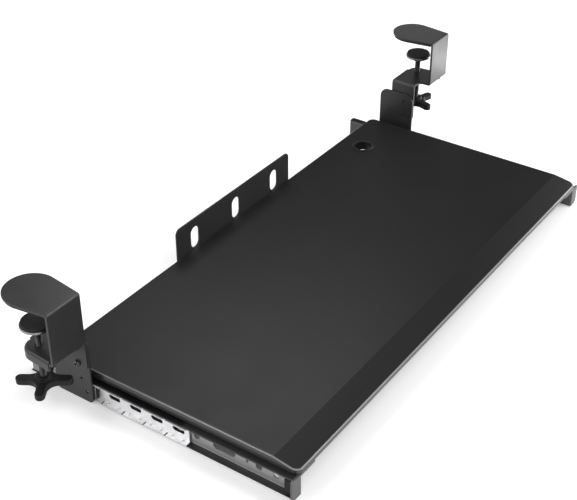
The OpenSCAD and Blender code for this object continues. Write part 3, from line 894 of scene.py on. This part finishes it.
def tray_bracket():
    """Angle under the board, with a plate that closes the channel's front end."""
    lo, hi = span("right_tray_bracket")
    web_x = span("right_slide_channel")[0].x
    half = BRACKET_T / 2
    corners = [(lo.x, hi.z - half), (web_x - half, hi.z - half), (web_x - half, lo.z)]
    piece = bent_sheet(corners, BRACKET_T, BRACKET_FOLD_R, lo.y, hi.y, "Y")
    far = (hi.x, span("right_slide_channel")[1].z)
    plate = rounded_rect((web_x - BRACKET_T, lo.z), far, [0, END_PLATE_R, END_PLATE_TOP_R, 0])
    carve(piece, [prism(plate, lo.y, lo.y + BRACKET_T, "Y")], "UNION")
    crisp(piece)
    dress_pair(piece, "tray_bracket")


def slide_channel():
    """Channel that rides with the tray, with holes and a long slot in its web."""
    lo, hi = span("right_slide_channel")
    half = SLIDE_T / 2
    corners = [
        (hi.x - half, lo.z + SLIDE_LIP_H),
        (hi.x - half, lo.z + half),
        (lo.x + half, lo.z + half),
        (lo.x + half, hi.z - half),
        (hi.x - half, hi.z - half),
        (hi.x - half, hi.z - SLIDE_LIP_H),
    ]
    piece = bent_sheet(corners, SLIDE_T, SLIDE_FOLD_R, lo.y, hi.y, "Y")
    z = slide_middle()
    ends = lo.x - CUT, lo.x + SLIDE_T + CUT
    tools = [drill("X", (lo.y + at, z), CHANNEL_HOLE_R, *ends) for at in CHANNEL_HOLE_AT]
    tools.append(drill("X", (lo.y + CHANNEL_PILOT_AT, z), CHANNEL_PILOT_R, *ends))
    slot_y = lo.y + CHANNEL_SLOT_AT + CHANNEL_SLOT_L / 2
    tools.append(prism(oval((slot_y, z), CHANNEL_SLOT_L, CHANNEL_SLOT_H), *ends, "X"))
    carve(piece, tools)
    crisp(piece)
    dress_pair(piece, "slide_channel", "channel_steel")


CAGE_T = 0.8
CAGE_FOLD_R = 0.6
CAGE_LEAD = 14.5
CAGE_TAIL = 2
CAGE_PITCH = 30
CAGE_WINDOW_L = 16
CAGE_WINDOW_H = 6.5
CAGE_WINDOWS = 6
CAGE_SLIT = 1.8
BALL_SPREAD = 7.5
BALL_HOLE_R = 1.5
FRONT_STOP_L = 9.5
BACK_STOP_L = 3


def ball_cage():
    """Sheet cage with windows in its web, and slits and ball holes in its flanges."""
    lo, hi = span("right_ball_cage")
    balls = span("right_cage_balls")
    half = CAGE_T / 2
    corners = [
        (hi.x, lo.z + half), (lo.x + half, lo.z + half), (lo.x + half, hi.z - half), (hi.x, hi.z - half),
    ]
    piece = bent_sheet(corners, CAGE_T, CAGE_FOLD_R, lo.y, hi.y, "Y")
    middles = [lo.y + CAGE_LEAD + i * CAGE_PITCH for i in range(CAGE_WINDOWS)]
    web = lo.x - CUT, lo.x + CAGE_T + CUT
    windows = [
        prism(oval((y, slide_middle()), CAGE_WINDOW_L, CAGE_WINDOW_H), *web, "X") for y in middles
    ]
    last_slit = hi.y - CAGE_TAIL - CAGE_SLIT / 2
    slits = [y + CAGE_PITCH / 2 for y in middles if y + CAGE_PITCH / 2 < last_slit]
    ball_x = (balls[0].x + balls[1].x) / 2
    gaps = []
    for y in slits:
        near = (lo.x + 2 * CAGE_T, y - CAGE_SLIT / 2, lo.z - CUT)
        gaps.append(block(near, (hi.x + CUT, y + CAGE_SLIT / 2, hi.z + CUT)))
    holes = [
        drill("Z", (ball_x, y + s * BALL_SPREAD), BALL_HOLE_R, lo.z - CUT, hi.z + CUT)
        for y in middles for s in (-1, 1)
    ]
    for tool in windows + gaps + holes:
        carve(piece, [tool])
    soften(piece, width=0.15)
    dress_pair(piece, "ball_cage")


def fixed_rail():
    """Rail that hangs from the hanger, inside the cage."""
    lo, hi = span("right_fixed_rail")
    half = SLIDE_T / 2
    corners = [
        (lo.x, lo.z + half), (hi.x - half, lo.z + half), (hi.x - half, hi.z - half), (lo.x, hi.z - half),
    ]
    piece = bent_sheet(corners, SLIDE_T, SLIDE_FOLD_R, lo.y, hi.y, "Y")
    soften(piece, width=0.22)
    dress_pair(piece, "fixed_rail")


def buffers():
    """Plastic stops in the channels and bumpers on the fixed rails."""
    lo, hi = span("right_channel_stops")
    front = block(lo, (hi.x, lo.y + FRONT_STOP_L, hi.z))
    back = block((lo.x, hi.y - BACK_STOP_L, lo.z), hi)
    stops = joined([front, back])
    soften(stops, width=0.9, segments=3)
    dress_pair(stops, "channel_stops")
    bumper = block(*span("right_rail_bumper"))
    soften(bumper, width=0.9, segments=3)
    dress_pair(bumper, "rail_bumper")


# Hangers and clamps

HANGER_TOP_R = 12
HANGER_LOW_R = 6
BOLT_R = 2.5
BOLT_HEAD_R = 4
BOLT_RECESS = 1.2
BOLT_DOME = ((1, 0), (1, 0.3), (0.85, 0.7), (0.6, 1), (0, 1))
BOLT_STEPS = 36
SOCKET_R = 1.75
SOCKET_SHARE = 0.7
SPARE_HOLE_DROP = 9
SPARE_HOLE_R = 2.15
CLAMP_T = 3
FACE_W = 48
FACE_TO_TAB = 17.5
BEND_R = 3.2
FOLD_R = 1
TONGUE_R = 29.5
JAW_R = 16
LIP_DROP = 9
TAB_R = 6
JAW_FILLET_R = 7
PAD_MARGIN = 1.5
RELIEF = 2
LIP_START = 5
BEND_STEPS = 6
JAW_HOLE_R = 4.6


def hanger_plate():
    """Plate with round corners, holes for its bolts and screws, and one spare hole."""
    lo, hi = span("right_hanger_plate")
    radii = [HANGER_LOW_R, HANGER_LOW_R, HANGER_TOP_R, HANGER_TOP_R]
    piece = prism(rounded_rect((lo.y, lo.z), (hi.y, hi.z), radii), lo.x, hi.x, "X")
    ends = lo.x - CUT, hi.x + CUT
    bolts = span("right_hanger_bolts")
    bolt_y = (bolts[0].y + bolts[1].y) / 2
    spare_z = span("tray_board")[1].z - SPARE_HOLE_DROP
    tools = [drill("X", (bolt_y, spare_z), SPARE_HOLE_R, *ends)]
    for z in (bolts[0].z + BOLT_HEAD_R, bolts[1].z - BOLT_HEAD_R):
        tools.append(drill("X", (bolt_y, z), BOLT_R + HOLE_CLEAR, *ends))
    for y in (lo.y + RAIL_SCREW_INSET, hi.y - RAIL_SCREW_INSET):
        tools.append(drill("X", (y, slide_middle()), SLIDE_SCREW_R + HOLE_CLEAR, *ends))
    carve(piece, tools)
    soften(piece, width=0.45, segments=3)
    dress_pair(piece, "hanger_plate")


def hanger_bolts():
    """Button-headed bolts with a hexagon socket."""
    lo, hi = span("right_hanger_bolts")
    tab_out = span("right_hanger_plate")[1].x + CLAMP_T
    head_h = hi.x - tab_out
    tip = lo.x + BOLT_RECESS - tab_out
    y = (lo.y + hi.y) / 2
    z = lo.z + BOLT_HEAD_R
    profile = [(0, tip), (BOLT_R, tip), (BOLT_R, 0)]
    profile += [(r * BOLT_HEAD_R, h * head_h) for r, h in BOLT_DOME]
    first = lathe(profile, (tab_out, y, z), "X", BOLT_STEPS)
    socket = prism(circle((y, z), SOCKET_R, HEXAGON), hi.x - SOCKET_SHARE * head_h, hi.x + CUT, "X")
    carve(first, [socket])
    bolts = joined([first, copied(first, (0, 0, hi.z - BOLT_HEAD_R - z))])
    crisp(bolts)
    dress_pair(bolts, "hanger_bolts")


def clamp_places():
    """Key places of the right-hand clamp."""
    lo, hi = span("right_clamp_bracket")
    inner = lo.x + FACE_TO_TAB
    return {
        "lo": lo,
        "hi": hi,
        "tab": lo.x + CLAMP_T,
        "inner": inner,
        "outer": inner + FACE_W,
        "middle": inner + FACE_W / 2,
        "tongue_y": hi.y - TONGUE_R,
        "jaw": span("right_clamp_nut")[1].z,
        "screw": centre_of("right_clamp_screw"),
    }


def tongue_outline(at, start, margin):
    """Upper jaw in plan, from its two front corners at start round its end."""
    centre = (at["middle"], at["tongue_y"])
    r = TONGUE_R - margin
    corner = (at["outer"] - margin, start)
    turn = touch_angle(corner, centre, r)
    return [corner, *arc(centre, r, turn, 180 - turn, steps=32), (2 * at["middle"] - corner[0], start)]


def lip_path(at):
    """Inner line of the lower jaw's lip, from the front round to behind the screw."""
    r = JAW_R - CLAMP_T - FOLD_R
    edge = (at["outer"] - CLAMP_T - FOLD_R, 0)
    turn = touch_angle(edge, at["screw"], r)
    touch = arc(at["screw"], r, turn, turn, steps=1)[0]
    share = LIP_START / touch[1]
    first = (edge[0] + (touch[0] - edge[0]) * share, LIP_START)
    return [Vector(p) for p in [first, *arc(at["screw"], r, turn, 90, steps=16)]]


def fold_strip(edge, outward, z, drop):
    """Faces that fold an edge of a level sheet down through a right angle to a wall."""
    rows = []
    for i in range(BEND_STEPS + 1):
        a = math.pi / 2 * i / BEND_STEPS
        out, down = FOLD_R * math.sin(a), FOLD_R * (1 - math.cos(a))
        rows.append([(*(p + n * out), z - down) for p, n in zip(edge, outward)])
    if drop:
        rows.append([(*(p + n * FOLD_R), z - drop) for p, n in zip(edge, outward)])
    return [
        (a[i], a[i + 1], b[i + 1], b[i])
        for a, b in zip(rows, rows[1:]) for i in range(len(edge) - 1)
    ]


def clamp_faces():
    """Outer skin of the folded clamp sheet, as a list of faces."""
    at = clamp_places()
    lo, hi, jaw = at["lo"], at["hi"], at["jaw"]
    inner, outer, tab = at["inner"], at["outer"], at["tab"]
    back = at["screw"][1] + JAW_R
    hanger_front = span("right_hanger_plate")[0].y
    start = lo.y + BEND_R
    faces = [[(x, y, hi.z) for x, y in tongue_outline(at, start, 0)]]
    profile = arc((start, hi.z - BEND_R), BEND_R, 90, 180, BEND_STEPS)
    profile += arc((start, jaw + BEND_R), BEND_R, 180, 270, BEND_STEPS)
    for (y0, z0), (y1, z1) in zip(profile, profile[1:]):
        faces.append([(inner, y0, z0), (outer, y0, z0), (outer, y1, z1), (inner, y1, z1)])
    lip = lip_path(at)
    fillet = arc((inner - JAW_FILLET_R, hanger_front - JAW_FILLET_R), JAW_FILLET_R, 90, 0)
    tab_edge = [Vector((tab + FOLD_R, back)), Vector((tab + FOLD_R, hanger_front))]
    plan = [(inner, start), (outer, start), (outer, LIP_START - RELIEF), (lip[0].x, LIP_START - RELIEF)]
    plan += [tuple(p) for p in lip]
    plan += [(lip[-1].x - RELIEF, lip[-1].y), (lip[-1].x - RELIEF, back)]
    plan += [tuple(p) for p in tab_edge] + fillet
    faces.append([(x, y, jaw) for x, y in plan])
    outward = []
    for i in range(len(lip)):
        run = (lip[min(i + 1, len(lip) - 1)] - lip[max(i - 1, 0)]).normalized()
        outward.append(Vector((run.y, -run.x)))
    faces += fold_strip(lip, outward, jaw, LIP_DROP)
    faces += fold_strip(tab_edge, [Vector((-1, 0))] * 2, jaw, 0)
    radii = [TAB_R, TAB_R, 0, 0]
    tab_plan = rounded_rect((hanger_front, lo.z), (back, jaw - FOLD_R), radii)
    faces.append([(tab, y, z) for y, z in tab_plan])
    return faces


def clamp_bracket():
    """Clamp bent from one sheet, with a hole for the screw in its lower jaw."""
    at = clamp_places()
    verts, faces = [], []
    for corners in clamp_faces():
        faces.append(tuple(range(len(verts), len(verts) + len(corners))))
        verts += corners
    piece = to_piece(verts, faces)
    top = max(piece.data.polygons, key=lambda face: face.center.z)
    if top.normal.z < 0:
        piece.data.flip_normals()
    sheet = piece.modifiers.new("sheet", "SOLIDIFY")
    sheet.thickness = CLAMP_T * MM
    sheet.offset = -1
    sheet.use_even_offset = True
    settle(piece)
    carve(piece, [drill("Z", at["screw"], JAW_HOLE_R, at["jaw"] - CUT, at["jaw"] + CLAMP_T + CUT)])
    soften(piece, width=0.35, segments=3, angle=40)
    dress_pair(piece, "clamp_bracket")


def jaw_pad():
    """Thin pad under the upper jaw."""
    lo, hi = span("right_jaw_pad")
    piece = prism(tongue_outline(clamp_places(), lo.y, PAD_MARGIN), lo.z, hi.z, "Z")
    soften(piece, width=0.5, segments=3)
    dress_pair(piece, "jaw_pad")


# Clamp screws

THREAD_PITCH = 1.25
THREAD_DEPTH = 0.65
THREAD_ROWS = 6
THREAD_STEPS = 20
KNOB_R = 31
KNOB_TIP_R = 5.5
KNOB_HOLLOW_R = 12
KNOB_T = 8
COLLAR_R = 9
KNOB_TURN = {"left": -57, "right": -18}
KNOB_BORE_R = 4.1
THREAD_FLANK = 2.4
THREAD_ROOT = 0.2
THREAD_CREASE = math.radians(60)
NUT_BORE_R = 4.2
NUT_CHAMFER_RUN = 1.4
NUT_CHAMFER_H = 0.8
FOOT_T = 3
FOOT_SOCKET_R = 4.3
FOOT_SOCKET_DEPTH = 3
FOOT_BOSS_R = 7
FOOT_FLARE_R = 8
FOOT_FLARE_H = 0.6
FOOT_STEPS = 56
PAD_RINGS = (0.8, 0.55, 0.3)
PAD_GROOVE = 0.6


def clamp_nut():
    """Chamfered hexagon nut under the lower jaw."""
    lo, hi = span("right_clamp_nut")
    screw = clamp_places()["screw"]
    flat = (hi.y - lo.y) / 2
    piece = prism(circle(screw, flat / math.cos(math.pi / HEXAGON), HEXAGON), lo.z, hi.z, "Z")
    h = hi.z - lo.z
    full = flat + NUT_CHAMFER_RUN
    chamfer = [(0, 0), (flat, 0), (full, NUT_CHAMFER_H), (full, h - NUT_CHAMFER_H), (flat, h), (0, h)]
    carve(piece, [lathe(chamfer, (*screw, lo.z))], "INTERSECT")
    carve(piece, [drill("Z", screw, NUT_BORE_R, lo.z - CUT, hi.z + CUT)])
    crisp(piece)
    dress_pair(piece, "clamp_nut")


def pressure_foot():
    """Turned foot with a socket for the end of the screw."""
    lo, hi = span("right_pressure_foot")
    r = (hi.x - lo.x) / 2
    plate = hi.z - FOOT_T
    socket = lo.z + FOOT_SOCKET_DEPTH
    profile = [(0, hi.z), (0, socket), (FOOT_SOCKET_R, socket), (FOOT_SOCKET_R, lo.z)]
    profile += [(FOOT_BOSS_R, lo.z), (FOOT_BOSS_R, plate - FOOT_FLARE_H)]
    profile += [(FOOT_FLARE_R, plate), (r, plate), (r, hi.z)]
    piece = lathe(profile, (*clamp_places()["screw"], 0), steps=FOOT_STEPS)
    soften(piece, width=0.5, segments=3)
    dress_pair(piece, "pressure_foot")


def foot_pad():
    """Rubber disc with ring grooves on top."""
    lo, hi = span("right_foot_pad")
    r = (hi.x - lo.x) / 2
    profile = [(0, hi.z), (0, lo.z), (r, lo.z), (r, hi.z)]
    for ring in PAD_RINGS:
        at = ring * r
        profile += [(at + PAD_GROOVE, hi.z), (at, hi.z - PAD_GROOVE), (at - PAD_GROOVE, hi.z)]
    piece = lathe(profile, (*clamp_places()["screw"], 0), steps=FOOT_STEPS)
    soften(piece, width=0.3)
    dress_pair(piece, "foot_pad")


def clamp_screw(side):
    """Screw with a rolled right-hand thread."""
    lo, hi = span(side + "_clamp_screw")
    x, y = centre_of(side + "_clamp_screw")
    r = (hi.x - lo.x) / 2
    rows = int((hi.z - lo.z) / THREAD_PITCH * THREAD_ROWS)
    verts = []
    for j in range(rows + 1):
        z = lo.z + (hi.z - lo.z) * j / rows
        full = min(1, j / THREAD_ROWS, (rows - j) / THREAD_ROWS)
        for i in range(THREAD_STEPS):
            phase = ((z - lo.z) / THREAD_PITCH - i / THREAD_STEPS) % 1
            crest = min(1, max(0, THREAD_FLANK * abs(phase - 0.5) - THREAD_ROOT))
            radius = r - THREAD_DEPTH * (1 - crest * full)
            a = 2 * math.pi * i / THREAD_STEPS
            verts.append((x + radius * math.cos(a), y + radius * math.sin(a), z))
    faces = []
    for low in range(0, rows * THREAD_STEPS, THREAD_STEPS):
        high = low + THREAD_STEPS
        for i in range(THREAD_STEPS):
            k = (i + 1) % THREAD_STEPS
            faces.append((low + i, low + k, high + k, high + i))
    top = rows * THREAD_STEPS
    faces += [tuple(range(THREAD_STEPS)), tuple(range(top, top + THREAD_STEPS))]
    piece = to_piece(verts, faces)
    piece.data.shade_smooth()
    piece.data.set_sharp_from_angle(angle=THREAD_CREASE)
    dress(piece, side + "_clamp_screw")


def star_knob(side):
    """Four-armed knob with round tips, hollows between its arms and a collar round the screw."""
    lo, hi = span(side + "_star_knob")
    x, y = centre_of(side + "_clamp_screw")
    hollow = KNOB_TIP_R + KNOB_HOLLOW_R
    arm = arc((KNOB_R - KNOB_TIP_R, 0), KNOB_TIP_R, -90, 90)
    arm += arc((hollow, hollow), KNOB_HOLLOW_R, 270, 180, steps=12)
    outline = []
    for quarter in range(4):
        turn = Matrix.Rotation(math.radians(KNOB_TURN[side] + 90 * quarter), 2)
        outline += [tuple(turn @ Vector(p) + Vector((x, y))) for p in arm]
    star = prism(outline, lo.z, lo.z + KNOB_T, "Z")
    collar = drill("Z", (x, y), COLLAR_R, lo.z + KNOB_T / 2, hi.z)
    carve(star, [collar], "UNION")
    soften(star, width=1.4, segments=4, angle=40)
    carve(star, [drill("Z", (x, y), KNOB_BORE_R, lo.z - CUT, hi.z + CUT)])
    crisp(star)
    dress(star, side + "_star_knob")


def cage_balls():
    """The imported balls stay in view, with a finish of their own."""
    for side in ("left", "right"):
        balls = frame["nodes"][side + "_cage_balls"]
        balls.data.materials.clear()
        balls.data.materials.append(MATERIALS["ball_steel"])


# Studio, in metres and watts

FLOOR_DROP = 0.0005
FLOOR_SIZE = 14.0
FLOOR_WHITE = 0.9
FLOOR_ROUGHNESS = 0.9
FLOOR_SPECULAR = 0.2
FLOOR_REACH = (0.7, 1.8)
FLOOR_GLOW = (0.2, 0.7)
WORLD_LIGHT = 0.34
BACKDROP_FADE = (0.05, 0.7)
BACKDROP_TOP = 0.3
FLAG_TOWARDS = (0.78, 0.35, 0.52)
FLAG_EDGES = (0.84, 0.96)
FLAG_DARK = 0.06
WHITE = (1, 1, 1, 1)


def seen_directly(tree):
    """1 for rays from the camera and for what metal or glass shows, 0 for rays that only give light."""
    path = tree.nodes.new("ShaderNodeLightPath")
    value = path.outputs["Is Camera Ray"]
    for name in ("Is Glossy Ray", "Is Transmission Ray"):
        value = maths(tree, "MAXIMUM", value, path.outputs[name])
    return value


def vector_maths(tree, operation, first, second=None):
    """Node value of an operation on a node vector and, if given, a plain one."""
    node = tree.nodes.new("ShaderNodeVectorMath")
    node.operation = operation
    tree.links.new(first, node.inputs[0])
    if second:
        node.inputs[1].default_value = second
    return node.outputs["Value"]


def make_world():
    """Soft light all round; the backdrop fades to grey overhead and has a dark flag on the right."""
    world = bpy.data.worlds.new("studio")
    bpy.context.scene.world = world
    world.use_nodes = True
    tree = world.node_tree
    light = tree.nodes["Background"]
    light.inputs["Color"].default_value = WHITE
    light.inputs["Strength"].default_value = WORLD_LIGHT
    height = coordinates(tree, "Generated")["Z"]
    fade = map_range(tree, height, BACKDROP_FADE, (1, BACKDROP_TOP))
    near = vector_maths(tree, "DOT_PRODUCT", place_in(tree, "Generated"), FLAG_TOWARDS)
    flag = map_range(tree, near, FLAG_EDGES, (1, FLAG_DARK))
    backdrop = tree.nodes.new("ShaderNodeBackground")
    tree.links.new(maths(tree, "MULTIPLY", fade, flag), backdrop.inputs["Color"])
    mix = tree.nodes.new("ShaderNodeMixShader")
    tree.links.new(seen_directly(tree), mix.inputs["Fac"])
    tree.links.new(light.outputs["Background"], mix.inputs[1])
    tree.links.new(backdrop.outputs["Background"], mix.inputs[2])
    tree.links.new(mix.outputs["Shader"], tree.nodes["World Output"].inputs["Surface"])


def make_floor():
    """Plain pale floor under the part, which stays white where the lamps no longer reach."""
    half = FLOOR_SIZE / 2
    z = cad_box[0].z - FLOOR_DROP
    corners = [(-half, -half, z), (half, -half, z), (half, half, z), (-half, half, z)]
    mesh = bpy.data.meshes.new("floor")
    mesh.from_pydata(corners, [], [tuple(range(len(corners)))])
    floor = added("floor", mesh)
    paint = surface("floor", grey(FLOOR_WHITE), 0, FLOOR_ROUGHNESS, FLOOR_SPECULAR)
    tree = paint.node_tree
    place = tree.nodes.new("ShaderNodeNewGeometry")
    away = vector_maths(tree, "LENGTH", place.outputs["Position"])
    glow = map_range(tree, away, FLOOR_REACH, FLOOR_GLOW)
    shader = shader_of(paint)
    shader.inputs["Emission Color"].default_value = WHITE
    seen_glow = maths(tree, "MULTIPLY", seen_directly(tree), glow)
    tree.links.new(seen_glow, shader.inputs["Emission Strength"])
    mesh.materials.append(paint)


def make_lamp(name, place, target, size, watts):
    """Rectangular lamp at a place, turned to a target; the camera does not see it."""
    lamp = bpy.data.lights.new(name, "AREA")
    lamp.shape = "RECTANGLE"
    lamp.size, lamp.size_y = size
    lamp.energy = watts
    holder = added(name, lamp)
    holder.visible_camera = False
    holder.location = place
    holder.rotation_euler = (Vector(target) - Vector(place)).to_track_quat("-Z", "Y").to_euler()


def make_camera():
    """The photograph's camera."""
    camera = bpy.data.cameras.new("camera")
    camera.sensor_width = SENSOR_W
    camera.lens = FOCAL_PX * SENSOR_W / PHOTO_W
    camera.clip_start = CAMERA_CLIP
    holder = added("camera", camera)
    holder.location = CAMERA_AT
    holder.rotation_euler = (math.radians(CAMERA_TILT), 0, math.radians(CAMERA_TURN))
    bpy.context.scene.camera = holder


make_camera()
board()
grommet()
back_stop()
wood_screws()
tray_bracket()
slide_channel()
slide_screws()
ball_cage()
cage_balls()
fixed_rail()
buffers()
hanger_plate()
hanger_bolts()
clamp_bracket()
jaw_pad()
clamp_nut()
pressure_foot()
foot_pad()
for side in ("left", "right"):
    clamp_screw(side)
    star_knob(side)

make_world()
make_floor()
make_lamp("key", place=(-1.1, -0.95, 1.35), target=(-0.1, -0.05, -0.1), size=(1.3, 1.0), watts=10)
make_lamp("front_strip", place=(0.8, -1.35, 1.3), target=(-0.3, -0.1, 0), size=(1.2, 0.4), watts=22)
make_lamp("back_strip", place=(-1.5, 0.9, 1.2), target=(-0.2, 0, -0.1), size=(1.4, 0.4), watts=15)
make_lamp("board_glow", place=(0.42, 0.36, 0.77), target=(-0.34, -0.21, -0.124), size=(0.6, 0.4), watts=3.8)
make_lamp("right_strip", place=(2.0, -0.5, 1.2), target=(0.3, -0.2, -0.1), size=(0.8, 0.4), watts=1.2)
make_lamp("low_card", place=(1.15, -0.4, 0), target=(0.39, 0, -0.03), size=(0.8, 0.3), watts=5)
make_lamp("face_card", place=(0.636, -0.12, -0.143), target=(0.4, 0, -0.02), size=(0.2, 0.035), watts=0.14)
make_lamp("right_card", place=(0.63, 0.16, 0.12), target=(0.39, 0.03, 0), size=(0.15, 0.15), watts=0.03)
bpy.context.scene.view_settings.view_transform = "Standard"
